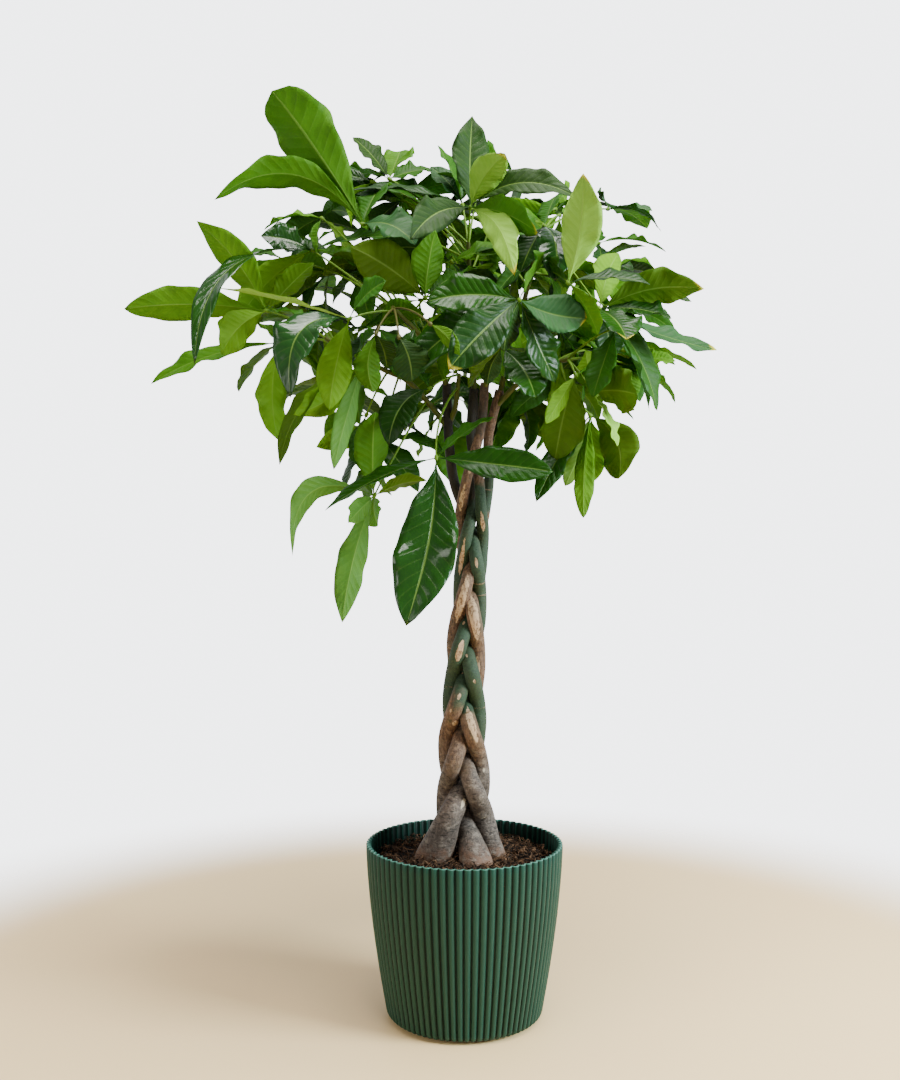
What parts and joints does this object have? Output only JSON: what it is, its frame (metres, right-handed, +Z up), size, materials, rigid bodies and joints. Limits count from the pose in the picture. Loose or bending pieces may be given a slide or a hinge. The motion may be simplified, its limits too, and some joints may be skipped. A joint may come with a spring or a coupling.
{
  "type": "potted money tree",
  "caption": "Potted money tree: plaited stems with leafy shoots of hand-shaped glossy leaves, growing in soil in a fluted round planter.",
  "frame": {"origin": "middle of the planter's flat underside", "axes": "+Z up along the trunk; +X to the right and +Y away from the viewer in front of the plant"},
  "size_m": [0.8773, 0.7475, 1.4054],
  "materials": {
    "pot": "satin moulded plastic, dark pine green, slightly paler on the ribs and rim",
    "soil": "rough dark fibre and bark",
    "bark": "grey-brown bark at the foot, green skin with tan scars higher up",
    "leaf": "glossy green upper side, paler matt underside"
  },
  "bodies": {
    "root": {"pot": "pot", "soil": "soil", "stem_1": "bark", "stem_2": "bark", "stem_3": "bark", "stem_4": "bark", "stem_5": "bark", "shoot_1": "leaf", "shoot_2": "leaf", "shoot_3": "leaf", "shoot_4": "leaf", "shoot_5": "leaf", "shoot_6": "leaf", "shoot_7": "leaf", "shoot_8": "leaf"}
  },
  "joints": []
}
